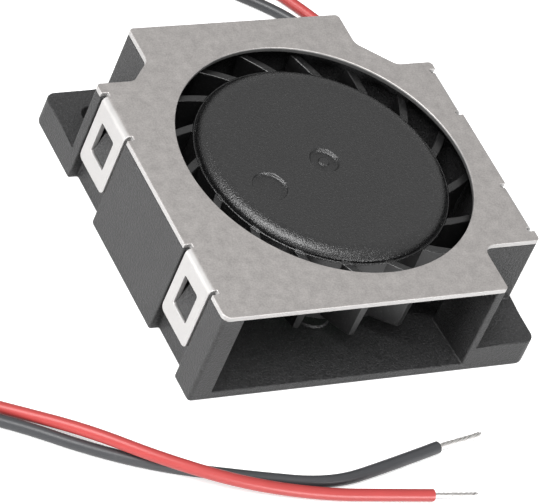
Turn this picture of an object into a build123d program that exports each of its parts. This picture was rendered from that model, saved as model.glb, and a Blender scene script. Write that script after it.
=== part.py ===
"""Small centrifugal blower: a flat square case with a snapped-on sheet cover, a hub with leaning
blades, an outer-rotor motor under the hub and two loose leads with tinned ends.

Millimetres. +X runs right along the outlet, +Y to the back, +Z up. The origin is the centre of the
square case at the height of the surface it stands on. The outlet faces -Y.
"""

from build123d import *
from math import atan2, cos, degrees, pi, radians, sin, tan
import os

os.makedirs("parts", exist_ok=True)

# Case
case_width = 30.0
case_depth = 30.0
case_height = 9.0
foot_corner_radius = 0.95
case_corner_radius = 0.3
floor_thickness = 0.75
side_wall = 1.8
ear_height = 2.5
base_edge_chamfer = 0.1

# Corners cut out of the square, as legs along X and Y and the chamfer that bridges them
rear_left_cut_x = 5.3
rear_left_cut_y = 5.6
rear_left_chamfer = 2.0
rear_right_cut_x = 5.8
rear_right_cut_y = 5.86
rear_right_chamfer = 2.6
front_right_cut_x = 5.25
front_right_cut_y = 4.55
cut_inner_radius = 1.0
cut_outer_radius = 0.35

# Screw hole in the rear left ear
screw_hole_radius = 1.05
screw_inset_x = 3.3
screw_inset_y = 2.8

# Sheet cover and its snap tabs
cover_thickness = 0.45
inlet_below_blades = 0.37
cover_corner_radius = 0.6
bend_inner_radius = 0.05
tab_width = 4.3
tab_length = 6.3
tab_corner_radius = 0.5
tab_side_gap = 0.25
tab_behind_gap = 0.4
left_tab_positions = (5.85, -10.05)
right_tab_positions = (5.8, -6.9)
window_width = 2.2
window_height = 2.95
window_below_top = 1.75
window_corner_radius = 0.2
relief_width = 0.4
relief_corner_radius = 0.1
fillet_slack = 1e-4
latch_width = 2.0
latch_play = 0.15
latch_reach = 0.75

# Rotor axis and hub
axis_x = 0.75
axis_y = -0.1
hub_below_cover = 0.2
cap_height = 0.7
cap_edge_radius = 0.8
cap_crest_width = 0.1
cap_dish_slope = 0.5
cap_dish_depth = 0.05
cap_groove_width = 0.1
cap_groove_depth = 0.15
collar_width = 0.23
inlet_gap = 1.7
hub_wall = 0.58
hub_ceiling = 0.6
gate_recess_radius = 1.27
gate_recess_depth = 0.25
gate_recess_slope = 0.2
gate_pip_radius = 0.42
gate_pip_height = 0.12
balance_recess_radius = 1.46
balance_recess_depth = 0.2
balance_recess_slope = 0.12
hub_floor_gap = 1.25
balance_recess_distance = 6.24
balance_recess_angle = 200.3

# Blades: a centre line through three points, given as radius and angle, with a thickness at each
blade_count = 17
blade_phase = 4.94
blade_root_thickness = 0.74
blade_middle_thickness = 0.64
blade_end_thickness = 0.54
blade_draft = 1.3
blade_top_gap = 0.55
blade_floor_gap = 1.65
blade_root_overlap = 0.33
blade_root_angle = -4.7
blade_middle_reach = 0.67
blade_end_overlap = 0.4
blade_end_angle = 7.7

# Scroll: a spiral wall that opens from the tongue to the straight side of the outlet
tongue_angle = -52.0
tongue_gap = 0.45
scroll_opening = 1.1
tongue_radius = 0.4
scroll_end_angle = 180.0
scroll_arcs = 4
mouth_wall = 0.83
ejector_pad_radius = 1.47
ejector_pad_height = 0.15
ejector_pad_x = -1.5
ejector_pad_y = -8.4
underside_recess_radius = 9.0
underside_recess_depth = 0.15

# Motor
glue_gap = 0.03
running_gap = 0.02
shaft_radius = 0.75
shaft_end_gap = 0.05
shaft_seat_depth = 1.0
hub_boss_radius = 1.9
hub_boss_height = 1.2
bearing_radius = 1.6
bearing_above_clip = 0.25
bearing_below_tube = 0.2
tube_wall = 0.55
tube_socket_depth = 0.2
tube_boss_gap = 0.6
tube_boss_wall = 0.45
thrust_pad_thickness = 0.2
clip_thickness = 0.2
clip_width = 0.5
clip_groove_depth = 0.15
clip_slot = 0.8
clip_above_end = 0.35
yoke_thickness = 0.4
yoke_lift = 0.27
magnet_thickness = 1.2
magnet_overhang = 0.8
air_gap = 0.25
core_above_board = 1.75
core_below_tube = 0.6
core_hub_radius = 3.5
tooth_count = 4
tooth_width = 1.8
shoe_thickness = 0.8
shoe_gap = 1.9
insulator_thickness = 0.3
insulator_rim_height = 0.75
insulator_rim_width = 0.35
coil_wall = 0.6
coil_start_radius = 3.95
rim_to_shoe_gap = 0.16
coil_corner_radius = 0.25
pin_radius = 0.2
pin_circle_radius = 3.08
pin_below_board = 0.1
pin_hole_radius = 0.3
board_side_gap = 1.55
board_thickness = 0.5
board_lift = 0.4
board_post_radius = 0.6
board_post_inset = 1.2
board_post_count = 3
board_post_turn = 60.0
chip_size = (2.0, 1.3, 0.55)
capacitor_size = (1.0, 0.55, 0.5)
resistor_size = (1.0, 0.5, 0.35)
component_circle = 5.3
chip_angle = 225.0
capacitor_angle = 135.0
resistor_angle = 315.0

# Leads
lead_diameter = 0.95
lead_spacing = 1.15
lead_board_gap = 0.1
lead_slot_play = 0.15
lead_slot_angle = 45.0
lead_slot_middle = 12.3
lead_drop_start = 16.3
lead_drift = 0.05
lead_floor_gap = 0.005
core_wire_diameter = 0.37

# Places worked out from the sizes above
left = -case_width / 2
right = case_width / 2
front = -case_depth / 2
back = case_depth / 2
wall_top = case_height - cover_thickness
cut_margin = 1.0
tab_bottom = case_height - tab_length
window_top = case_height - window_below_top
window_bottom = window_top - window_height
bend_outer_radius = bend_inner_radius + cover_thickness
relief_depth = bend_outer_radius + relief_corner_radius
recess_depth = cover_thickness + tab_behind_gap
recess_width = tab_width + 2 * tab_side_gap
screw_x = left + screw_inset_x
screw_y = back - screw_inset_y
scroll_end_radius = axis_x - left - side_wall
scroll_start_radius = scroll_end_radius - scroll_opening
blade_tip_radius = scroll_start_radius - tongue_gap
inlet_radius = blade_tip_radius - inlet_below_blades
hub_radius = inlet_radius - inlet_gap
cap_radius = hub_radius - collar_width
dish_radius = cap_radius - cap_edge_radius - cap_crest_width
hub_top = case_height - hub_below_cover
hub_face = hub_top - cap_dish_depth
collar_top = hub_top - cap_height
hub_underside = hub_top - hub_ceiling
hub_inner_radius = hub_radius - hub_wall
hub_bottom = floor_thickness + hub_floor_gap
blade_bottom = floor_thickness + blade_floor_gap
blade_top = wall_top - blade_top_gap
blade_root_radius = hub_radius - blade_root_overlap
blade_middle_radius = hub_radius + blade_middle_reach
blade_end_radius = blade_tip_radius + blade_end_overlap
tube_bottom = floor_thickness - tube_socket_depth
tube_inner_radius = bearing_radius + glue_gap
tube_outer_radius = tube_inner_radius + tube_wall
tube_boss_radius = tube_outer_radius + tube_boss_wall
thrust_pad_top = tube_bottom + thrust_pad_thickness
shaft_bottom = thrust_pad_top + shaft_end_gap
boss_bottom = hub_underside - hub_boss_height
shaft_top = boss_bottom + shaft_seat_depth
clip_bottom = shaft_bottom + clip_above_end
tube_top = boss_bottom - tube_boss_gap
bearing_bottom = clip_bottom + clip_thickness + bearing_above_clip
bearing_length = tube_top - bearing_below_tube - bearing_bottom
board_bottom = floor_thickness + board_lift
board_top = board_bottom + board_thickness
board_radius = hub_inner_radius - board_side_gap
board_post_circle = board_radius - board_post_inset
core_bottom = board_top + core_above_board
core_top = tube_top - core_below_tube
core_thickness = core_top - core_bottom
yoke_radius = hub_inner_radius - glue_gap
magnet_outer_radius = yoke_radius - yoke_thickness - glue_gap
magnet_inner_radius = magnet_outer_radius - magnet_thickness
magnet_bottom = core_bottom - magnet_overhang
magnet_height = core_thickness + 2 * magnet_overhang
yoke_height = hub_underside - glue_gap - hub_bottom - yoke_lift
shoe_radius = magnet_inner_radius - air_gap
core_bore = tube_outer_radius + glue_gap
coil_end_radius = shoe_radius - shoe_thickness - rim_to_shoe_gap - insulator_rim_width - glue_gap
coil_length = coil_end_radius - coil_start_radius
coil_inner_width = tooth_width + 2 * glue_gap
coil_inner_height = core_thickness + 2 * (insulator_thickness + glue_gap)

balance_recess_taper = degrees(atan2(balance_recess_slope, balance_recess_depth))

rotor_plane = Plane((axis_x, axis_y, 0))
rotor_section = Plane(origin=(axis_x, axis_y, 0), x_dir=(1, 0, 0), z_dir=(0, -1, 0))
rotor_axis = Axis((axis_x, axis_y, 0), (0, 0, 1))


def finish(builder, name):
    """Name a piece and write its file"""
    builder.part.label = name
    export_step(builder.part, f"parts/{name}.step")


def on_circle(radius, angle):
    """Point on a circle about the sketch's own origin"""
    return (radius * cos(radians(angle)), radius * sin(radians(angle)))


def blade_side_point(centre_line, along, side):
    """Point on one side of a blade, square to its centre line, by the way along it from 0 to 1"""
    root_to_middle = blade_middle_thickness - blade_root_thickness
    middle_to_end = blade_end_thickness - blade_middle_thickness
    thickness = blade_root_thickness + 2 * min(along, 0.5) * root_to_middle
    thickness = thickness + 2 * max(along - 0.5, 0) * middle_to_end
    direction = centre_line % along
    return centre_line @ along + Vector(-direction.Y, direction.X) * (side * thickness / 2)


def scroll_point(angle):
    """Point of the spiral wall at an angle about the rotor axis"""
    opened = (angle - tongue_angle) / (scroll_end_angle - tongue_angle)
    radius = scroll_start_radius + opened * (scroll_end_radius - scroll_start_radius)
    x, y = on_circle(radius, angle)
    return (axis_x + x, axis_y + y)


def round_inner_corners(sketch, x, y, count):
    """Round the corners of a cut-out that lie nearest to where its two sides would meet"""
    fillet(sketch.vertices().sort_by_distance((x, y, 0))[:count], cut_inner_radius)


# Corners that the case and the cover leave open
with BuildSketch() as rear_left_notch:
    with BuildLine():
        Polyline(
            (left - cut_margin, back + cut_margin),
            (left - cut_margin, back - rear_left_cut_y),
            (left + rear_left_cut_x - rear_left_chamfer, back - rear_left_cut_y),
            (left + rear_left_cut_x, back - rear_left_cut_y + rear_left_chamfer),
            (left + rear_left_cut_x, back + cut_margin),
            close=True,
        )
    make_face()
    round_inner_corners(rear_left_notch, left + rear_left_cut_x, back - rear_left_cut_y, 2)

with BuildSketch() as rear_right_notch:
    with BuildLine():
        Polyline(
            (right + cut_margin, back + cut_margin),
            (right - rear_right_cut_x, back + cut_margin),
            (right - rear_right_cut_x, back - rear_right_cut_y + rear_right_chamfer),
            (right - rear_right_cut_x + rear_right_chamfer, back - rear_right_cut_y),
            (right + cut_margin, back - rear_right_cut_y),
            close=True,
        )
    make_face()
    round_inner_corners(rear_right_notch, right - rear_right_cut_x, back - rear_right_cut_y, 2)

with BuildSketch() as front_right_notch:
    with Locations((right - front_right_cut_x, front + front_right_cut_y)):
        Rectangle(
            front_right_cut_x + cut_margin,
            front_right_cut_y + cut_margin,
            align=(Align.MIN, Align.MAX),
        )
    round_inner_corners(front_right_notch, right - front_right_cut_x, front + front_right_cut_y, 1)

# Outline above the feet, which the case and the cover share
with BuildSketch() as upper_outline:
    Rectangle(case_width, case_depth)
    add(rear_left_notch.sketch, mode=Mode.SUBTRACT)
    add(rear_right_notch.sketch, mode=Mode.SUBTRACT)
    add(front_right_notch.sketch, mode=Mode.SUBTRACT)
    for x, y in (
        (left, back - rear_left_cut_y),
        (left + rear_left_cut_x, back),
        (right - rear_right_cut_x, back),
        (right, back - rear_right_cut_y),
        (right, front + front_right_cut_y),
        (right - front_right_cut_x, front),
    ):
        fillet(upper_outline.vertices().sort_by_distance((x, y, 0))[0], cut_outer_radius)

# Outline of the case as high as the screw ear and the plain foot
with BuildSketch() as foot_outline:
    Rectangle(case_width, case_depth)
    add(rear_right_notch.sketch, mode=Mode.SUBTRACT)
    for x, y in ((left, back), (right, front)):
        fillet(foot_outline.vertices().sort_by_distance((x, y, 0))[0], foot_corner_radius)
    for x, y in ((right - rear_right_cut_x, back), (right, back - rear_right_cut_y)):
        fillet(foot_outline.vertices().sort_by_distance((x, y, 0))[0], cut_outer_radius)

# Air space inside the case, from the mouth round the spiral to the tongue
with BuildSketch() as air_space:
    with BuildLine():
        mouth_left = (left + side_wall, front - cut_margin)
        mouth_right = (right - front_right_cut_x - mouth_wall, front)
        arc_sweep = (scroll_end_angle - tongue_angle) / scroll_arcs
        Line(mouth_left, scroll_point(scroll_end_angle))
        for arc in range(scroll_arcs):
            arc_end = scroll_end_angle - arc * arc_sweep
            ThreePointArc(
                scroll_point(arc_end),
                scroll_point(arc_end - arc_sweep / 2),
                scroll_point(arc_end - arc_sweep),
            )
        Line(scroll_point(tongue_angle), mouth_right)
        Polyline(mouth_right, (mouth_right[0], front - cut_margin), mouth_left)
    make_face()
    tongue_x, tongue_y = scroll_point(tongue_angle)
    fillet(air_space.vertices().sort_by_distance((tongue_x, tongue_y, 0))[0], tongue_radius)

with BuildPart() as housing:
    # Block with the screw ear and the plain foot left low, and a shallow bay behind each snap tab
    for outline, bottom, top in ((foot_outline, 0, ear_height), (upper_outline, ear_height, wall_top)):
        with BuildSketch(Plane.XY.offset(bottom)) as layer:
            add(outline.sketch)
            fillet(layer.vertices().sort_by_distance((left, front, bottom))[0], case_corner_radius)
            with Locations(*[(left, y) for y in left_tab_positions]):
                Rectangle(2 * recess_depth, recess_width, mode=Mode.SUBTRACT)
            with Locations(*[(right, y) for y in right_tab_positions]):
                Rectangle(2 * recess_depth, recess_width, mode=Mode.SUBTRACT)
        extrude(amount=top - bottom)
    chamfer(housing.edges().group_by(Axis.Z)[0], base_edge_chamfer)
    with BuildSketch(Plane.XY.offset(floor_thickness)):
        add(air_space.sketch)
    extrude(amount=case_height - floor_thickness, mode=Mode.SUBTRACT)
    # Floor: pad, board posts and the boss that holds the bearing tube
    with BuildSketch(Plane.XY.offset(floor_thickness)):
        with Locations((ejector_pad_x, ejector_pad_y)):
            Circle(ejector_pad_radius)
    extrude(amount=ejector_pad_height)
    with BuildSketch(rotor_plane.offset(floor_thickness)):
        Circle(tube_boss_radius)
        with PolarLocations(board_post_circle, board_post_count, start_angle=lead_slot_angle + board_post_turn):
            Circle(board_post_radius)
    extrude(amount=board_lift)
    with BuildSketch(rotor_plane.offset(tube_bottom)):
        Circle(tube_outer_radius + glue_gap)
    extrude(amount=board_bottom - tube_bottom, mode=Mode.SUBTRACT)
    with BuildSketch(rotor_plane):
        Circle(underside_recess_radius)
    extrude(amount=underside_recess_depth, mode=Mode.SUBTRACT)
    # Way out for the leads, through the wall at the rear right corner
    with BuildSketch(rotor_plane.offset(floor_thickness)):
        with Locations(on_circle(scroll_end_radius, lead_slot_angle)):
            Rectangle(
                2 * (scroll_end_radius - scroll_start_radius) + cut_margin,
                lead_spacing + lead_diameter + 2 * lead_slot_play,
                rotation=lead_slot_angle,
            )
    extrude(amount=lead_diameter + lead_slot_play, mode=Mode.SUBTRACT)
    with BuildSketch():
        with Locations((screw_x, screw_y)):
            Circle(screw_hole_radius)
    extrude(amount=ear_height, mode=Mode.SUBTRACT)
    # Latch wedges that the tab windows snap over
    for side, positions in ((-1, left_tab_positions), (1, right_tab_positions)):
        bay_face = side * (case_width / 2 - recess_depth)
        for y in positions:
            with BuildSketch(Plane.XZ.offset(-y)):
                with BuildLine():
                    Polyline(
                        (bay_face - side * latch_play, window_bottom + latch_play),
                        (bay_face + side * latch_reach, window_bottom + latch_play),
                        (bay_face, window_top - latch_play),
                        (bay_face - side * latch_play, window_top - latch_play),
                        close=True,
                    )
                make_face()
            extrude(amount=latch_width / 2, both=True)
finish(housing, "housing")

with BuildPart() as cover_plate:
    with BuildSketch(Plane.XY.offset(wall_top)) as sheet:
        add(upper_outline.sketch)
        fillet(sheet.vertices().sort_by_distance((left, front, wall_top))[0], cover_corner_radius)
        with Locations((axis_x, axis_y)):
            Circle(inlet_radius, mode=Mode.SUBTRACT)
        for edge_x, positions in ((left, left_tab_positions), (right, right_tab_positions)):
            with Locations(*[(edge_x, y) for y in positions]):
                Rectangle(2 * bend_outer_radius, tab_width, mode=Mode.SUBTRACT)
            relief_offset = (tab_width + relief_width) / 2
            relief_positions = [y + step for y in positions for step in (-relief_offset, relief_offset)]
            with Locations(*[(edge_x, y) for y in relief_positions]):
                RectangleRounded(2 * relief_depth, relief_width, relief_corner_radius, mode=Mode.SUBTRACT)
    extrude(amount=cover_thickness)
    # Each tab is folded down from the sheet on its own bend
    for side, positions in ((-1, left_tab_positions), (1, right_tab_positions)):
        tab_middle_x = side * (case_width - cover_thickness) / 2
        sheet_middle = case_height - cover_thickness / 2
        for y in positions:
            with BuildSketch(Plane.XZ.offset(-y)):
                with BuildLine():
                    FilletPolyline(
                        (side * (case_width / 2 - bend_outer_radius), sheet_middle),
                        (tab_middle_x, sheet_middle),
                        (tab_middle_x, tab_bottom),
                        radius=bend_inner_radius + cover_thickness / 2 - fillet_slack,
                    )
                trace(line_width=cover_thickness)
            extrude(amount=tab_width / 2, both=True)
    fillet(cover_plate.edges().filter_by(Axis.X).group_by(Axis.Z)[0], tab_corner_radius)
    for side, positions in ((-1, left_tab_positions), (1, right_tab_positions)):
        with BuildSketch(Plane.YZ.offset(side * case_width / 2)):
            with Locations(*[(y, (window_bottom + window_top) / 2) for y in positions]):
                RectangleRounded(window_width, window_top - window_bottom, window_corner_radius)
        extrude(amount=bend_outer_radius, both=True, mode=Mode.SUBTRACT)
finish(cover_plate, "cover_plate")

# One blade, a curved strip that thins outwards, trimmed by the cylinder that the tips lie on
with BuildSketch() as blade:
    with BuildLine():
        centre_line = ThreePointArc(
            on_circle(blade_root_radius, blade_root_angle),
            on_circle(blade_middle_radius, 0),
            on_circle(blade_end_radius, blade_end_angle),
            mode=Mode.PRIVATE,
        )
        leading = [blade_side_point(centre_line, along, 1) for along in (0, 0.5, 1)]
        trailing = [blade_side_point(centre_line, along, -1) for along in (0, 0.5, 1)]
        ThreePointArc(*leading)
        Line(leading[-1], trailing[-1])
        ThreePointArc(*reversed(trailing))
        Line(trailing[0], leading[0])
    make_face()
    Circle(blade_tip_radius, mode=Mode.INTERSECT)

with BuildPart() as impeller:
    with BuildSketch(rotor_section):
        with BuildLine():
            Polyline(
                (0, hub_face),
                (dish_radius - cap_dish_slope, hub_face),
                (dish_radius, hub_top),
                (cap_radius, hub_top),
                (cap_radius, collar_top - cap_groove_depth),
                (cap_radius + cap_groove_width, collar_top - cap_groove_depth),
                (cap_radius + cap_groove_width, collar_top),
                (hub_radius, collar_top),
                (hub_radius, hub_bottom),
                (hub_inner_radius, hub_bottom),
                (hub_inner_radius, hub_underside),
                (hub_boss_radius, hub_underside),
                (hub_boss_radius, boss_bottom),
                (shaft_radius + glue_gap, boss_bottom),
                (shaft_radius + glue_gap, shaft_top + glue_gap),
                (0, shaft_top + glue_gap),
                close=True,
            )
        make_face()
    revolve(axis=rotor_axis)
    fillet(impeller.edges().group_by(Axis.Z)[-1].sort_by(SortBy.LENGTH)[-1], cap_edge_radius)
    with BuildSketch(rotor_plane.offset(blade_top)):
        with PolarLocations(0, blade_count, start_angle=blade_phase):
            add(blade.sketch)
    extrude(amount=blade_bottom - blade_top, taper=blade_draft)
    # Sprue recess in the middle with its cut-off pip, and a shallow recess for balance putty
    with BuildSketch(rotor_section):
        with BuildLine():
            Polyline(
                (0, hub_face + cut_margin),
                (gate_recess_radius, hub_face + cut_margin),
                (gate_recess_radius, hub_face),
                (gate_recess_radius - gate_recess_slope, hub_face - gate_recess_depth),
                (gate_pip_radius, hub_face - gate_recess_depth),
                (gate_pip_radius, hub_face - gate_recess_depth + gate_pip_height),
                (0, hub_face - gate_recess_depth + gate_pip_height),
                close=True,
            )
        make_face()
    revolve(axis=rotor_axis, mode=Mode.SUBTRACT)
    with BuildSketch(rotor_plane.offset(hub_face)):
        with Locations(on_circle(balance_recess_distance, balance_recess_angle)):
            Circle(balance_recess_radius)
    extrude(amount=-balance_recess_depth, taper=balance_recess_taper, mode=Mode.SUBTRACT)
finish(impeller, "impeller")

with BuildPart() as rotor_yoke:
    with BuildSketch(rotor_plane.offset(hub_underside - glue_gap)):
        Circle(yoke_radius)
        Circle(yoke_radius - yoke_thickness, mode=Mode.SUBTRACT)
    extrude(amount=-yoke_height)
finish(rotor_yoke, "rotor_yoke")

with BuildPart() as magnet_ring:
    with BuildSketch(rotor_plane.offset(magnet_bottom)):
        Circle(magnet_outer_radius)
        Circle(magnet_inner_radius, mode=Mode.SUBTRACT)
    extrude(amount=magnet_height)
finish(magnet_ring, "magnet_ring")

with BuildPart() as rotor_shaft:
    with BuildSketch(rotor_plane.offset(shaft_bottom)):
        Circle(shaft_radius)
    extrude(amount=shaft_top - shaft_bottom)
    chamfer(rotor_shaft.edges().filter_by(GeomType.CIRCLE), clip_groove_depth)
    with BuildSketch(rotor_plane.offset(clip_bottom)):
        Circle(shaft_radius)
        Circle(shaft_radius - clip_groove_depth, mode=Mode.SUBTRACT)
    extrude(amount=clip_thickness, mode=Mode.SUBTRACT)
finish(rotor_shaft, "rotor_shaft")

# Open clip in the shaft's groove, which keeps the rotor from lifting out
with BuildPart() as retaining_clip:
    with BuildSketch(rotor_plane.offset(clip_bottom + glue_gap)):
        Circle(shaft_radius - clip_groove_depth + glue_gap + clip_width)
        Circle(shaft_radius - clip_groove_depth + glue_gap, mode=Mode.SUBTRACT)
        Rectangle(
            2 * shaft_radius + clip_width,
            clip_slot,
            align=(Align.MIN, Align.CENTER),
            mode=Mode.SUBTRACT,
        )
    extrude(amount=clip_thickness - 2 * glue_gap)
finish(retaining_clip, "retaining_clip")

with BuildPart() as bearing_tube:
    with BuildSketch(rotor_plane.offset(tube_bottom)):
        Circle(tube_outer_radius)
        Circle(tube_inner_radius, mode=Mode.SUBTRACT)
    extrude(amount=tube_top - tube_bottom)
finish(bearing_tube, "bearing_tube")

with BuildPart() as sleeve_bearing:
    with BuildSketch(rotor_plane.offset(bearing_bottom)):
        Circle(bearing_radius)
    extrude(amount=bearing_length)
    chamfer(sleeve_bearing.edges().filter_by(GeomType.CIRCLE), clip_groove_depth)
    with BuildSketch(rotor_plane.offset(bearing_bottom)):
        Circle(shaft_radius + running_gap)
    extrude(amount=bearing_length, mode=Mode.SUBTRACT)
finish(sleeve_bearing, "sleeve_bearing")

with BuildPart() as thrust_pad:
    with BuildSketch(rotor_plane.offset(tube_bottom)):
        Circle(tube_inner_radius - glue_gap)
    extrude(amount=thrust_pad_thickness)
finish(thrust_pad, "thrust_pad")

# Stator: four toothed core, two moulded insulators and a coil on each tooth
with BuildPart() as stator_core:
    with BuildSketch(rotor_plane.offset(core_bottom)):
        Circle(shoe_radius)
        Circle(shoe_radius - shoe_thickness, mode=Mode.SUBTRACT)
        with PolarLocations(shoe_radius, tooth_count, start_angle=180 / tooth_count):
            Rectangle(4 * shoe_thickness, shoe_gap, mode=Mode.SUBTRACT)
        with PolarLocations(0, tooth_count):
            Rectangle(shoe_radius - shoe_thickness / 2, tooth_width, align=(Align.MIN, Align.CENTER))
        Circle(core_hub_radius)
        Circle(core_bore, mode=Mode.SUBTRACT)
    extrude(amount=core_thickness)
finish(stator_core, "stator_core")

# The same moulding above and below the core, with a rim outside each coil and holes for the pins
insulator_rim_radius = coil_start_radius + coil_length + glue_gap
for name, face_height, upward in (("upper_insulator", core_top, 1), ("lower_insulator", core_bottom, -1)):
    with BuildPart() as insulator:
        with BuildSketch(rotor_plane.offset(face_height)):
            with PolarLocations(0, tooth_count):
                Rectangle(
                    insulator_rim_radius + insulator_rim_width,
                    tooth_width,
                    align=(Align.MIN, Align.CENTER),
                )
            Circle(core_hub_radius)
            Circle(core_bore, mode=Mode.SUBTRACT)
            with PolarLocations(pin_circle_radius, tooth_count, start_angle=180 / tooth_count):
                Circle(pin_radius + glue_gap, mode=Mode.SUBTRACT)
        extrude(amount=upward * insulator_thickness)
        with BuildSketch(rotor_plane.offset(face_height)):
            with PolarLocations(insulator_rim_radius, tooth_count):
                Rectangle(
                    insulator_rim_width,
                    tooth_width + 2 * coil_wall,
                    align=(Align.MIN, Align.CENTER),
                )
        extrude(amount=upward * insulator_rim_height)
    finish(insulator, name)

for tooth in range(tooth_count):
    tooth_direction = on_circle(1, tooth * 360 / tooth_count)
    coil_plane = Plane(
        origin=(
            axis_x + coil_start_radius * tooth_direction[0],
            axis_y + coil_start_radius * tooth_direction[1],
            core_bottom + core_thickness / 2,
        ),
        x_dir=(-tooth_direction[1], tooth_direction[0], 0),
        z_dir=(*tooth_direction, 0),
    )
    with BuildPart() as coil:
        with BuildSketch(coil_plane):
            RectangleRounded(
                coil_inner_width + 2 * coil_wall,
                coil_inner_height + 2 * coil_wall,
                coil_corner_radius,
            )
            Rectangle(coil_inner_width, coil_inner_height, mode=Mode.SUBTRACT)
        extrude(amount=coil_length)
    finish(coil, f"coil_{tooth + 1}")

with BuildPart() as terminal_pins:
    with BuildSketch(rotor_plane.offset(board_bottom - pin_below_board)):
        with PolarLocations(pin_circle_radius, tooth_count, start_angle=180 / tooth_count):
            Circle(pin_radius)
    extrude(amount=core_bottom - glue_gap - board_bottom + pin_below_board)
finish(terminal_pins, "terminal_pins")

with BuildPart() as circuit_board:
    with BuildSketch(rotor_plane.offset(board_bottom)):
        Circle(board_radius)
        Circle(core_bore, mode=Mode.SUBTRACT)
        with PolarLocations(pin_circle_radius, tooth_count, start_angle=180 / tooth_count):
            Circle(pin_hole_radius, mode=Mode.SUBTRACT)
    extrude(amount=board_thickness)
finish(circuit_board, "circuit_board")

board_components = (
    ("driver_chip", chip_size, chip_angle),
    ("capacitor", capacitor_size, capacitor_angle),
    ("resistor", resistor_size, resistor_angle),
)
for name, (length, width, height), angle in board_components:
    with BuildPart() as component:
        with BuildSketch(rotor_plane.offset(board_top)):
            with Locations(on_circle(component_circle, angle)):
                Rectangle(width, length, rotation=angle)
        extrude(amount=height)
        chamfer(component.edges().group_by(Axis.Z)[-1], glue_gap)
    finish(component, name)

# Leads: each lies on the floor of the case, leaves through the slot, drops to the surface below,
# goes round behind the case and comes back in front of it, where the red one lies over the black
lead_floor = lead_diameter / 2 + lead_floor_gap
lead_inside = floor_thickness + lead_diameter / 2
slot_x, slot_y = on_circle(1, lead_slot_angle)


def slot_point(distance, offset):
    """Point on a lead inside the case, by distance from the rotor axis and offset to its right"""
    return (
        axis_x + distance * slot_x + offset * slot_y,
        axis_y + distance * slot_y - offset * slot_x,
        lead_inside,
    )


lead_start = board_radius + lead_board_gap
red_points = [
    slot_point(lead_start, lead_spacing / 2 - lead_drift),
    slot_point(lead_slot_middle, lead_spacing / 2 + lead_drift),
    slot_point(lead_drop_start, lead_spacing / 2 - lead_drift),
    (15.3, 15.9, lead_floor),
    (15.45, 19.6, lead_floor),
    (14.3, 22.9, lead_floor),
    (10.7, 28.4, lead_floor),
    (4.2, 34.2, lead_floor),
    (-5.2, 38.2, lead_floor),
    (-16.2, 37.8, lead_floor),
    (-26.2, 32.0, 1.65),
    (-33.6, 23.2, 1.65),
    (-38.2, 13.2, lead_floor),
    (-40.4, 3.2, lead_floor),
    (-39.6, -6.0, lead_floor),
    (-34.6, -11.7, lead_floor),
    (-29.2, -14.45, lead_floor),
    (-25.1, -17.85, 1.58),
    (-20.43, -21.26, 1.53),
    (-14.63, -23.87, 0.9),
    (-8.5, -25.5, lead_floor),
    (-3.0, -26.35, lead_floor),
    (0.38, -26.86, lead_floor),
]
black_points = [
    slot_point(lead_start, -lead_spacing / 2 - lead_drift),
    slot_point(lead_slot_middle, -lead_spacing / 2 + lead_drift),
    slot_point(lead_drop_start, -lead_spacing / 2 - lead_drift),
    (13.4, 16.2, lead_floor),
    (13.3, 19.9, lead_floor),
    (12.2, 23.2, lead_floor),
    (7.2, 27.4, lead_floor),
    (0.2, 32.2, lead_floor),
    (-8.6, 34.9, lead_floor),
    (-18.8, 33.4, lead_floor),
    (-28.4, 28.2, lead_floor),
    (-36.6, 20.4, lead_floor),
    (-41.6, 10.4, lead_floor),
    (-43.2, -0.6, lead_floor),
    (-41.0, -8.8, lead_floor),
    (-35.2, -13.0, lead_floor),
    (-29.6, -15.65, lead_floor),
    (-24.9, -18.75, lead_floor),
    (-19.9, -21.15, lead_floor),
    (-13.9, -22.95, lead_floor),
    (-7.5, -24.65, lead_floor),
    (-2.0, -23.62, lead_floor),
    (3.0, -22.46, lead_floor),
]
red_bare_end = (4.23, -27.18, lead_floor)
black_bare_end = (7.2, -21.78, lead_floor)


def corner_radii(points):
    """Radius of the tangent arc at each corner, as large as its two runs allow"""
    radii = []
    for before, corner, after in zip(points, points[1:], points[2:]):
        run_in = Vector(*corner) - Vector(*before)
        run_out = Vector(*after) - Vector(*corner)
        half_turn = radians(run_in.get_angle(run_out)) / 2
        radii.append(0.45 * min(run_in.length, run_out.length) / tan(half_turn))
    return radii


for name, points, bare_end in (
    ("red_lead", red_points, red_bare_end),
    ("black_lead", black_points, black_bare_end),
):
    radii = corner_radii(points)
    with BuildPart() as lead:
        with BuildLine():
            route = FilletPolyline(*points, radius=radii)
        with BuildSketch(Plane(origin=route @ 0, z_dir=route % 0)):
            Circle(lead_diameter / 2)
        sweep()
    finish(lead, name)
    section_volume = pi * (lead_diameter / 2) ** 2 * route.length
    print(name, "radii", [round(radius, 1) for radius in radii])
    print(name, "length", round(route.length, 2), "volume", round(lead.part.volume / section_volume, 4))
    with BuildPart() as bare_core:
        with BuildLine():
            Line(points[-1], bare_end)
        with BuildSketch(Plane(origin=points[-1], z_dir=Vector(*bare_end) - Vector(*points[-1]))):
            Circle(core_wire_diameter / 2)
        sweep()
    finish(bare_core, f"{name}_end")
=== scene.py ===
import math

import bpy
from mathutils import Matrix, Vector


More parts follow.
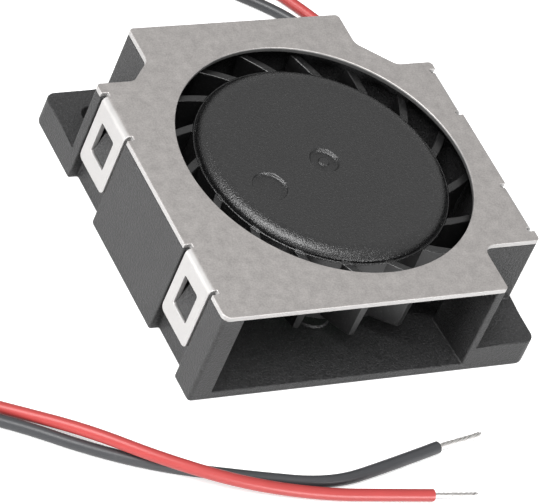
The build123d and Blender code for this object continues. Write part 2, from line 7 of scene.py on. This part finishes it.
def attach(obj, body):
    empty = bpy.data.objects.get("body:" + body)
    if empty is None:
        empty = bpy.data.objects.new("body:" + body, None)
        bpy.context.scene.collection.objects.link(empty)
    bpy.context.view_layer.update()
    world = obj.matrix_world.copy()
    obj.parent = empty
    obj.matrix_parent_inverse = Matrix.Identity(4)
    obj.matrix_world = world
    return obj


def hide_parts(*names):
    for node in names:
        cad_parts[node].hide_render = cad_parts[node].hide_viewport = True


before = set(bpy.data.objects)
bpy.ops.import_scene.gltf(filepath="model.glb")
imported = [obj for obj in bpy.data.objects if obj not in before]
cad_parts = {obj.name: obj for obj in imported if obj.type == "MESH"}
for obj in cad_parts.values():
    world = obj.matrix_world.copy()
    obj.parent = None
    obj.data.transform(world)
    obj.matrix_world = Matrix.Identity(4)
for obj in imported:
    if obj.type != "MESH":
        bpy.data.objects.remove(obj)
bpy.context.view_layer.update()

# Sizes are in metres. A length in millimetres is written as a number times mm.
mm = 0.001

# Blender's edit tools are coarse on sizes this small, so a mesh is worked on this many times as large
workshop_scale = 1000.0
merge_distance = 0.0005 * mm
sliver_width = 0.0001 * mm
flat_angle = math.radians(0.3)
sharp_angle = math.radians(32)

# The camera, from the straight edges of the square case in the photograph. The lens and the sensor are
# in millimetres.
camera_place = Vector((-178.171, -197.389, 225.469)) * mm
camera_right = Vector((0.85557, -0.40642, 0.32067))
camera_up = Vector((0.08272, 0.71879, 0.69029))
camera_forward = Vector((0.51104, 0.56406, -0.64859))
camera_lens = 290.16
camera_sensor = 36.0
camera_near = 0.01
camera_far = 20.0

# The case and its sheet cover. The round inlet lies about the rotor's axis, within the radius of the mask
# that paints shade on its inner wall.
rotor_axis = Vector((0.75, -0.10, 0.0)) * mm
sheet_top = 9.0 * mm
inlet_mask_radius = 12.1 * mm
case_edge = 0.09 * mm
sheet_edge = 0.05 * mm

# The impeller. Its hub lies within the mask's radius, and its cap has a rounded rim about a shallow dish.
wheel_edge = 0.06 * mm
hub_mask_radius = 10.7 * mm
cap_radius = 10.1 * mm
cap_top = 8.8 * mm
cap_edge_radius = 0.8 * mm
cap_foot = cap_top - cap_edge_radius
cap_rim_width = 0.9 * mm
cap_dish_slope = 0.5 * mm
cap_rim_spread = 1.5

# The leads. The points of their routes and the two heights of their centre lines are in millimetres.
lead_diameter = 0.95 * mm
red_strand_radius = 0.072 * mm
black_strand_radius = 0.086 * mm
lead_floor = 0.48
lead_inside = 1.225
red_points = [
    (6.990, 5.398, lead_inside),
    (9.889, 8.156, lead_inside),
    (12.647, 11.055, lead_inside),
    (15.3, 15.9, lead_floor),
    (15.45, 19.6, lead_floor),
    (14.3, 22.9, lead_floor),
    (10.7, 28.4, lead_floor),
    (4.2, 34.2, lead_floor),
    (-5.2, 38.2, lead_floor),
    (-16.2, 37.8, lead_floor),
    (-26.2, 32.0, 1.65),
    (-33.6, 23.2, 1.65),
    (-38.2, 13.2, lead_floor),
    (-40.4, 3.2, lead_floor),
    (-39.6, -6.0, lead_floor),
    (-34.6, -11.7, lead_floor),
    (-29.2, -14.45, lead_floor),
    (-25.1, -17.85, 1.58),
    (-20.43, -21.26, 1.53),
    (-14.63, -23.87, 0.9),
    (-8.5, -25.5, lead_floor),
    (-3.0, -26.35, lead_floor),
    (0.38, -26.86, lead_floor),
]
black_points = [
    (6.177, 6.211, lead_inside),
    (9.076, 8.969, lead_inside),
    (11.834, 11.868, lead_inside),
    (13.4, 16.2, lead_floor),
    (13.3, 19.9, lead_floor),
    (12.2, 23.2, lead_floor),
    (7.2, 27.4, lead_floor),
    (0.2, 32.2, lead_floor),
    (-8.6, 34.9, lead_floor),
    (-18.8, 33.4, lead_floor),
    (-28.4, 28.2, lead_floor),
    (-36.6, 20.4, lead_floor),
    (-41.6, 10.4, lead_floor),
    (-43.2, -0.6, lead_floor),
    (-41.0, -8.8, lead_floor),
    (-35.2, -13.0, lead_floor),
    (-29.6, -15.65, lead_floor),
    (-24.9, -18.75, lead_floor),
    (-19.9, -21.15, lead_floor),
    (-13.9, -22.95, lead_floor),
    (-7.5, -24.65, lead_floor),
    (-2.0, -23.62, lead_floor),
    (3.0, -22.46, lead_floor),
]
red_bare_end = (4.23, -27.18, 0.24)
black_bare_end = (7.2, -21.78, lead_floor)

# The studio. Levels go from 0, black, to 1, white.
floor_size = 4.0
floor_level = 0.80
floor_glow = 0.50
floor_glow_mirrored = 0.20
room_level = 0.20
tent_level = 0.65


class Signal:
    """A shader value that plain arithmetic works on"""

    def __init__(self, finish, socket):
        self.finish = finish
        self.socket = socket

    def combine(self, operation, first, second):
        """Work two values into one with a Math node"""
        return self.finish.node("ShaderNodeMath", {0: first, 1: second}, operation=operation)

    def __add__(self, other):
        return self.combine("ADD", self, other)

    def __rsub__(self, other):
        return self.combine("SUBTRACT", other, self)

    def __mul__(self, other):
        return self.combine("MULTIPLY", self, other)

    __radd__ = __add__
    __rmul__ = __mul__


class Finish:
    """The shader nodes of one owner, which is a material or the world"""

    def __init__(self, owner):
        owner.use_nodes = True
        self.owner = owner
        self.tree = owner.node_tree
        self.tree.nodes.clear()

    def node(self, kind, sockets=None, output=0, **settings):
        """Add a node, give it its settings, then its values and links, and return one output"""
        made = self.tree.nodes.new(kind)
        for key, value in settings.items():
            setattr(made, key, value)
        for key, value in (sockets or {}).items():
            socket = made.inputs[key]
            if isinstance(value, Signal):
                self.tree.links.new(value.socket, socket)
            else:
                socket.default_value = value
        return Signal(self, made.outputs[output]) if made.outputs else None

    def place(self):
        """The place on the piece, in metres"""
        return self.node("ShaderNodeTexCoord", output="Object")

    def noise(self, size, detail=2.0, roughness=0.5, where=None):
        """Noise around 0.5, with blotches of about this size"""
        return self.node(
            "ShaderNodeTexNoise",
            {"Vector": where or self.place(), "Scale": 1 / size, "Detail": detail, "Roughness": roughness},
        )

    def spread(self, value, low=0.34, high=0.66):
        """A value stretched so that low becomes 0 and high becomes 1, and held there

        Without limits it takes those that plain noise seldom passes.
        """
        sockets = {"Value": value, "From Min": low, "From Max": high}
        return self.node("ShaderNodeMapRange", sockets, clamp=True)

    def by_height(self, clear, full):
        """A mask that runs from 0 at the clear height to 1 at the full one, and keeps these beyond them"""
        level = self.node("ShaderNodeSeparateXYZ", {"Vector": self.place()}, output="Z")
        return self.spread(level, clear, full)

    def near_axis(self, radius):
        """A mask that is 1 within this radius of the rotor's axis and 0 past its narrow soft edge"""
        soft_edge = 0.05 * mm
        sockets = {"Vector": self.place(), "Location": -rotor_axis, "Scale": (1.0, 1.0, 0.0)}
        from_axis = self.node("ShaderNodeMapping", sockets)
        reach = self.node("ShaderNodeVectorMath", {0: from_axis}, output="Value", operation="LENGTH")
        return self.spread(reach, radius + soft_edge, radius)

    def mix(self, factor, first, second):
        """Mix two colours

        A Mix node repeats its sockets' names for each kind of value, so the colour ones go by number.
        """
        return self.node("ShaderNodeMix", {0: factor, 6: first, 7: second}, output=2, data_type="RGBA")

    def bump(self, height, depth, strength=1.0):
        """A bumped normal, with the height in 0 to 1 and the depth in metres"""
        return self.node("ShaderNodeBump", {"Height": height, "Distance": depth, "Strength": strength})

    def surface(self, **sockets):
        """A Principled surface, with its sockets named in words joined by underscores"""
        named = {key.replace("_", " "): value for key, value in sockets.items()}
        shader = self.node("ShaderNodeBsdfPrincipled", named)
        self.node("ShaderNodeOutputMaterial", {"Surface": shader})
        return self.owner


def colour(shade, level=1.0, lift=0.0):
    """A colour from linear red, green and blue, made darker or paler"""
    return (*(level * value + lift for value in shade), 1.0)


def grey(level):
    """An even grey"""
    return colour((level, level, level))


def moulded_plastic(name, shade, grain, depth, gloss, shine, etched_radius=None):
    """Black plastic from a spark-eroded mould: fine grain, faint flow marks, pale specks of dust

    With an etched radius, only the hub's cap within that distance of the rotor's axis has the full grain.
    """
    flow_mark = 3.0 * mm
    speck = 0.12 * mm
    etched_fade = 0.1 * mm
    finish = Finish(bpy.data.materials.new(name))
    fine = finish.spread(finish.noise(grain, roughness=0.6))
    polish = 0.0
    if etched_radius:
        etched = finish.near_axis(etched_radius) * finish.by_height(cap_foot - etched_fade, cap_foot)
        fine = fine * (0.15 + 0.85 * etched)
        polish = 0.16 * (1 - etched)
    flow = finish.noise(flow_mark, detail=3.0)
    dust = finish.spread(finish.noise(speck, detail=1.0), 0.60, 0.74)
    base = finish.mix(0.7 * fine + 0.3 * flow, colour(shade, 0.50), colour(shade, 1.55))
    return finish.surface(
        Base_Color=finish.mix(0.4 * dust, base, colour(shade, 4.0, lift=0.04)),
        Roughness=gloss + 0.12 * fine + polish,
        Specular_IOR_Level=shine,
        Normal=finish.bump(fine, depth),
    )


def rolled_sheet(name, shade):
    """Satin tinned sheet: soft mottling, fine grain and rolling lines along X

    Below its top face, the cut edges and the bent-down tabs are painted brighter: partly fresh-cut metal,
    partly a painted highlight of the lit tabs. The lower part of the inlet's inner wall is painted dark,
    as painted shade from the dark inside.
    """
    mottling = 0.9 * mm
    grain = 0.13 * mm
    line_width = 0.09 * mm
    line_stretch = 25
    burnish_and_highlight_start, burnish_and_highlight_full = sheet_top - 0.01 * mm, sheet_top - 0.06 * mm
    inlet_shade_start, inlet_shade_full = sheet_top - 0.12 * mm, sheet_top - 0.16 * mm
    bright_edge_and_painted_highlight = colour((0.48, 0.475, 0.47))
    inlet_shade_tone = grey(0.05)
    finish = Finish(bpy.data.materials.new(name))
    mottle = finish.spread(finish.noise(mottling, detail=4.0, roughness=0.62), 0.28, 0.72)
    fine = finish.spread(finish.noise(grain))
    stretched = finish.node(
        "ShaderNodeMapping", {"Vector": finish.place(), "Scale": (1 / line_stretch, 1.0, 1.0)}
    )
    lines = finish.noise(line_width, where=stretched)
    # Painted highlight, partly real: everything below the top face, cut edges and bent-down tabs, is made
    # brighter
    burnish_and_painted_highlight = finish.by_height(burnish_and_highlight_start, burnish_and_highlight_full)
    # Painted shade: the lower part of the inlet's inner wall is darkened, as in the shade of the dark
    # inside
    inlet_painted_shade = finish.near_axis(inlet_mask_radius) * finish.by_height(inlet_shade_start, inlet_shade_full)
    base = finish.mix(0.4 * mottle + 0.45 * fine + 0.15 * lines, colour(shade, 0.78), colour(shade, 1.20))
    # The cut edges and tabs are painted brighter here: partly fresh-cut metal, partly a painted highlight
    base = finish.mix(0.8 * burnish_and_painted_highlight, base, bright_edge_and_painted_highlight)
    return finish.surface(
        # The inlet's inner wall is painted dark here, as painted shade
        Base_Color=finish.mix(0.85 * inlet_painted_shade, base, inlet_shade_tone),
        Metallic=0.7,
        Roughness=0.42 + 0.12 * mottle + 0.06 * lines,
        Normal=finish.bump(0.6 * fine + 0.4 * lines, 0.006 * mm, 0.8),
    )


def soft_insulation(name, shade):
    """Lead insulation: smooth and slightly waxy, with faint patches, scuffs and waves"""
    patch = 2.2 * mm
    scuff = 0.5 * mm
    wave = 0.3 * mm
    finish = Finish(bpy.data.materials.new(name))
    patches = finish.noise(patch, detail=3.0)
    scuffs = finish.spread(finish.noise(scuff, detail=4.0, roughness=0.7), 0.60, 0.72)
    base = finish.mix(patches, colour(shade, 0.90), colour(shade, 1.08))
    return finish.surface(
        Base_Color=finish.mix(0.3 * scuffs, base, colour(shade, lift=0.03)),
        Roughness=0.36 + 0.14 * scuffs + 0.08 * patches,
        Normal=finish.bump(finish.noise(wave), 0.008 * mm, 0.5),
    )


def plain_metal(name, shade, gloss, grain=0.15 * mm):
    """Machined or drawn metal with a fine grain and a little staining"""
    stain = 1.5 * mm
    finish = Finish(bpy.data.materials.new(name))
    fine = finish.noise(grain, detail=3.0)
    stains = finish.noise(stain)
    return finish.surface(
        Base_Color=finish.mix(0.5 * fine + 0.5 * stains, colour(shade, 0.82), colour(shade, 1.06)),
        Metallic=1.0,
        Roughness=gloss + 0.14 * fine,
        Normal=finish.bump(fine, 0.004 * mm, 0.5),
    )


def plain_solid(name, shade, gloss, grain=0.2 * mm):
    """Moulded, fired or pressed material with a fine grain and soft patches"""
    patch = 1.2 * mm
    finish = Finish(bpy.data.materials.new(name))
    fine = finish.noise(grain, detail=3.0)
    patches = finish.noise(patch)
    return finish.surface(
        Base_Color=finish.mix(0.5 * fine + 0.5 * patches, colour(shade, 0.85), colour(shade, 1.12)),
        Roughness=gloss + 0.12 * fine,
        Normal=finish.bump(fine, 0.006 * mm, 0.5),
    )


def wound_wire(name, shade, wire):
    """Enamelled copper turns: ridges one wire apart, with painted shade darkening the gap between them"""
    blotch = 0.4 * mm
    # A wave texture of scale 1 turns by 20 radians over a unit
    wave_scale = math.tau / (20 * wire)
    finish = Finish(bpy.data.materials.new(name))
    turns = finish.node(
        "ShaderNodeTexWave",
        {"Vector": finish.place(), "Scale": wave_scale, "Distortion": 0.6, "Detail": 1.0},
        output=1,
        wave_type="RINGS",
        rings_direction="SPHERICAL",
        wave_profile="SIN",
    )
    return finish.surface(
        # Painted shade: the colour darkens in the gap between turns
        Base_Color=finish.mix(turns, colour(shade, 0.35), colour(shade)),
        Metallic=0.9,
        Roughness=0.24 + 0.2 * finish.noise(blotch),
        Normal=finish.bump(turns, 0.02 * mm, 0.8),
    )


def printed_board(name):
    """Circuit board: green mask, with copper tracks that stand up under it"""
    track_spacing = 1.4 * mm
    weave_size = 0.25 * mm
    covered_copper = colour((0.06, 0.22, 0.09))
    finish = Finish(bpy.data.materials.new(name))
    from_track = finish.node(
        "ShaderNodeTexVoronoi",
        {"Vector": finish.place(), "Scale": 1 / track_spacing, "Randomness": 0.8},
        feature="DISTANCE_TO_EDGE",
    )
    off_track = finish.spread(from_track, 0.10, 0.13)
    weave = finish.noise(weave_size)
    mask = finish.mix(weave, colour((0.02, 0.11, 0.045)), colour((0.03, 0.15, 0.06)))
    return finish.surface(
        Base_Color=finish.mix(off_track, covered_copper, mask),
        Roughness=0.32 + 0.15 * weave,
        Normal=finish.bump(1 - off_track, 0.02 * mm, 0.6),
    )


def floor_paper(name):
    """White paper that glows a little, for the camera and in reflections"""
    finish = Finish(bpy.data.materials.new(name))
    seen = finish.node("ShaderNodeLightPath", output="Is Camera Ray")
    mirrored = finish.node("ShaderNodeLightPath", output="Is Glossy Ray")
    strength = floor_glow * seen + floor_glow_mirrored * mirrored
    paper = finish.node("ShaderNodeBsdfDiffuse", {"Color": grey(floor_level)})
    glow = finish.node("ShaderNodeEmission", {"Color": grey(1), "Strength": strength})
    both = finish.node("ShaderNodeAddShader", {0: paper, 1: glow})
    finish.node("ShaderNodeOutputMaterial", {"Surface": both})
    return finish.owner


def studio_room(name):
    """A dim white room, which the camera sees as white and reflections see as a pale tent"""
    finish = Finish(bpy.data.worlds.new(name))
    seen, mirrored, through = [
        finish.node("ShaderNodeLightPath", output=ray)
        for ray in ("Is Camera Ray", "Is Glossy Ray", "Is Transmission Ray")
    ]
    strength = room_level + (1 - room_level) * (seen + through) + (tent_level - room_level) * mirrored
    sky = finish.node("ShaderNodeBackground", {"Color": grey(1), "Strength": strength})
    finish.node("ShaderNodeOutputWorld", {"Surface": sky})
    return finish.owner


def add_object(name, data):
    """A new object in the scene"""
    made = bpy.data.objects.new(name, data)
    bpy.context.scene.collection.objects.link(made)
    return made


def soft_lamp(name, place, width, height, power):
    """A soft box at a place, turned to face the middle of the object"""
    lamp = bpy.data.lights.new(name, "AREA")
    lamp.shape = "RECTANGLE"
    lamp.size = width
    lamp.size_y = height
    lamp.energy = power
    place = Vector(place)
    turn = place.to_track_quat("Z", "Y").to_matrix().to_4x4()
    add_object(name, lamp).matrix_world = Matrix.Translation(place) @ turn


def select_only(piece):
    """Deselect everything, then select this piece and make it active"""
    bpy.ops.object.select_all(action="DESELECT")
    piece.select_set(True)
    bpy.context.view_layer.objects.active = piece


def open_mesh(piece):
    """Go into edit mode on a piece, with all of its mesh selected"""
    select_only(piece)
    bpy.ops.object.mode_set(mode="EDIT")
    bpy.ops.mesh.select_all(action="SELECT")


def close_mesh():
    """Go back to object mode"""
    bpy.ops.object.mode_set(mode="OBJECT")


def resize(piece, factor):
    """Resize a mesh about the origin"""
    open_mesh(piece)
    bpy.ops.transform.resize(value=(factor, factor, factor), center_override=(0, 0, 0))
    close_mesh()


def apply_modifiers(piece):
    """Apply a piece's modifiers, in their order"""
    select_only(piece)
    for name in [modifier.name for modifier in piece.modifiers]:
        bpy.ops.object.modifier_apply(modifier=name)


def break_edges(piece, width):
    """Bevel a piece's sharp edges, in the workshop's scale"""
    bpy.ops.object.modifier_add(type="BEVEL")
    bevel = piece.modifiers[-1]
    bevel.width = width * workshop_scale
    bevel.segments = 2
    bevel.limit_method = "ANGLE"
    bevel.angle_limit = sharp_angle
    bevel.use_clamp_overlap = False
    bevel.miter_outer = "MITER_ARC"
    apply_modifiers(piece)


def spread_rim(piece):
    """Spread the rounding of the hub's rim inwards, so that it is broader than it is tall"""
    arc_slack = 0.05 * mm
    for vertex in piece.data.vertices:
        place = vertex.co / workshop_scale - rotor_axis
        radius = math.hypot(place.x, place.y)
        depth = cap_radius - radius
        from_arc_centre = math.hypot(radius - (cap_radius - cap_edge_radius), place.z - cap_foot)
        in_rim = 0 < depth < cap_rim_width + cap_dish_slope + arc_slack
        if in_rim and place.z > cap_foot and from_arc_centre > cap_edge_radius - arc_slack:
            depth += min(depth, cap_rim_width) * (cap_rim_spread - 1)
            scale = (cap_radius - depth) / radius
            place = Vector((place.x * scale, place.y * scale, place.z)) + rotor_axis
            vertex.co = place * workshop_scale


def finished_copy(node, name, edge_width, reshape=None):
    """A copy of a CAD piece with its sharp edges broken, as moulding and stamping leave them"""
    piece = add_object(name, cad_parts[node].data.copy())
    select_only(piece)
    # The shading that came with the CAD mesh doesn't fit the new edges
    bpy.ops.mesh.customdata_custom_splitnormals_clear()
    resize(piece, workshop_scale)
    open_mesh(piece)
    bpy.ops.mesh.remove_doubles(threshold=merge_distance * workshop_scale)
    bpy.ops.mesh.dissolve_limited(angle_limit=flat_angle)
    close_mesh()
    if reshape:
        reshape(piece)
    bpy.ops.object.shade_smooth_by_angle(angle=sharp_angle)
    break_edges(piece, edge_width)
    open_mesh(piece)
    bpy.ops.mesh.dissolve_degenerate(threshold=sliver_width * workshop_scale)
    close_mesh()
    bpy.ops.object.modifier_add(type="WEIGHTED_NORMAL")
    piece.modifiers[-1].keep_sharp = True
    apply_modifiers(piece)
    resize(piece, 1 / workshop_scale)
    return piece


def round_line(name, radius, roundness):
    """An empty curve with a round section and closed ends"""
    line = bpy.data.curves.new(name, "CURVE")
    line.dimensions = "3D"
    line.bevel_depth = radius
    line.bevel_resolution = roundness
    line.use_fill_caps = True
    return add_object(name, line)


def insulated_wire(name, points):
    """A lead's insulation, on one smooth line along its route"""
    piece = round_line(name, lead_diameter / 2, roundness=6)
    spline = piece.data.splines.new("NURBS")
    spline.points.add(len(points) - 1)
    for control, point in zip(spline.points, points):
        control.co = (*(value * mm for value in point), 1)
    spline.order_u = 3
    spline.use_endpoint_u = True
    spline.resolution_u = 12
    return piece


def twisted_strands(name, start, end, strand_radius):
    """The bare end of a lead: six tinned strands laid round a seventh, with a slight fray at the tip"""
    outer_strands = 6
    lay_radius = 1.95 * strand_radius
    turns = 1.6
    steps = 28
    fray_start = 0.8
    fray_spread = 0.05 * mm
    uneven_cut = 0.02
    start = Vector(start) * mm
    along = Vector(end) * mm - start
    across = along.cross(Vector((0, 0, 1))).normalized()
    upward = across.cross(along).normalized()
    piece = round_line(name, strand_radius, roundness=3)
    for strand in range(outer_strands + 1):
        spline = piece.data.splines.new("POLY")
        spline.points.add(steps)
        for step, control in enumerate(spline.points):
            part = step / steps
            turn = math.tau * (strand / outer_strands + turns * part)
            fray = fray_spread * max(0.0, part - fray_start) * (strand % 3)
            reach = 0 if strand == outer_strands else lay_radius + fray
            short = 1 - uneven_cut * (strand % 4)
            place = start + along * part * short
            place = place + (across * math.cos(turn) + upward * math.sin(turn)) * reach
            control.co = (*place, 1)
    select_only(piece)
    bpy.ops.object.convert(target="MESH")
    bpy.ops.object.shade_smooth()
    return bpy.context.object


def give(piece, material):
    """Put one material on a piece"""
    piece.data.materials.clear()
    piece.data.materials.append(material)


def dress(piece, material, body, node):
    """Give a piece its material and its body, in place of a CAD node, which is hidden"""
    give(piece, material)
    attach(piece, body)
    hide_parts(node)


# Camera
camera_data = bpy.data.cameras.new("camera")
camera_data.lens = camera_lens
camera_data.sensor_width = camera_sensor
camera_data.sensor_fit = "HORIZONTAL"
camera_data.clip_start = camera_near
camera_data.clip_end = camera_far
camera = add_object("camera", camera_data)
camera_turn = Matrix((camera_right, camera_up, -camera_forward)).transposed()
camera.matrix_world = Matrix.Translation(camera_place) @ camera_turn.to_4x4()
bpy.context.scene.camera = camera

# Leads
red_insulation = soft_insulation("red_insulation", (0.352, 0.042, 0.040))
black_insulation = soft_insulation("black_insulation", (0.034, 0.035, 0.038))
tinned = plain_metal("tinned_strand", (0.68, 0.665, 0.65), gloss=0.34, grain=0.08 * mm)
red_wire = insulated_wire("red_wire", red_points)
dress(red_wire, red_insulation, "case", "red_lead")
black_wire = insulated_wire("black_wire", black_points)
dress(black_wire, black_insulation, "case", "black_lead")
red_tip = twisted_strands("red_wire_strands", red_points[-1], red_bare_end, red_strand_radius)
dress(red_tip, tinned, "case", "red_lead_end")
black_tip = twisted_strands("black_wire_strands", black_points[-1], black_bare_end, black_strand_radius)
dress(black_tip, tinned, "case", "black_lead_end")

# Case, cover and impeller, with the small roundings that catch the light
case_plastic = moulded_plastic(
    "case_plastic", (0.022, 0.022, 0.0225), grain=0.17 * mm, depth=0.032 * mm, gloss=0.40, shine=0.38
)
wheel_plastic = moulded_plastic(
    "wheel_plastic",
    (0.006, 0.006, 0.0062),
    grain=0.13 * mm,
    depth=0.017 * mm,
    gloss=0.20,
    shine=0.7,
    etched_radius=hub_mask_radius,
)
cover_metal = rolled_sheet("cover_metal", (0.385, 0.366, 0.355))
case_shell = finished_copy("housing", "case_shell", case_edge)
dress(case_shell, case_plastic, "case", "housing")
sheet_cover = finished_copy("cover_plate", "sheet_cover", sheet_edge)
dress(sheet_cover, cover_metal, "case", "cover_plate")
blower_wheel = finished_copy("impeller", "blower_wheel", wheel_edge, reshape=spread_rim)
dress(blower_wheel, wheel_plastic, "rotor", "impeller")

# Pieces under the hub keep their CAD shapes and get their own finishes
natural_nylon = plain_solid("natural_nylon", (0.68, 0.66, 0.58), gloss=0.42)
copper_winding = wound_wire("copper_winding", (0.62, 0.27, 0.12), wire=0.09 * mm)
inner_finishes = {
    "rotor_yoke": plain_metal("yoke_steel", (0.50, 0.50, 0.50), gloss=0.34),
    "magnet_ring": plain_solid("bonded_ferrite", (0.05, 0.05, 0.055), gloss=0.55),
    "rotor_shaft": plain_metal("ground_steel", (0.72, 0.72, 0.73), gloss=0.14),
    "retaining_clip": plain_metal("spring_steel", (0.52, 0.52, 0.53), gloss=0.3),
    "bearing_tube": plain_metal("turned_brass", (0.72, 0.55, 0.25), gloss=0.22),
    "sleeve_bearing": plain_metal("sintered_bronze", (0.50, 0.34, 0.19), gloss=0.48, grain=0.06 * mm),
    "thrust_pad": natural_nylon,
    "stator_core": plain_metal("stamped_core", (0.34, 0.35, 0.37), gloss=0.4),
    "upper_insulator": natural_nylon,
    "lower_insulator": natural_nylon,
    "terminal_pins": tinned,
    "circuit_board": printed_board("board_mask"),
    "driver_chip": plain_solid("chip_epoxy", (0.03, 0.03, 0.03), gloss=0.5, grain=0.06 * mm),
    "capacitor": plain_solid("capacitor_ceramic", (0.46, 0.34, 0.22), gloss=0.35),
    "resistor": plain_solid("resistor_ceramic", (0.05, 0.05, 0.06), gloss=0.3),
    **{f"coil_{number}": copper_winding for number in range(1, 5)},
}
for node, material in inner_finishes.items():
    give(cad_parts[node], material)

# Floor and light
bpy.ops.object.select_all(action="DESELECT")
bpy.ops.mesh.primitive_plane_add(size=floor_size, location=(0, 0, 0))
floor = bpy.context.object
floor.name = "floor"
give(floor, floor_paper("floor_white"))
bpy.context.scene.world = studio_room("studio")
soft_lamp("left", (-0.50, 0.03, 0.07), width=0.20, height=0.20, power=2.9)
soft_lamp("front", (0.13, -0.48, 0.06), width=0.20, height=0.20, power=2.35)
soft_lamp("overhead", (-0.18, -0.11, 0.45), width=0.42, height=0.24, power=3.45)
bpy.context.scene.view_settings.view_transform = "Standard"
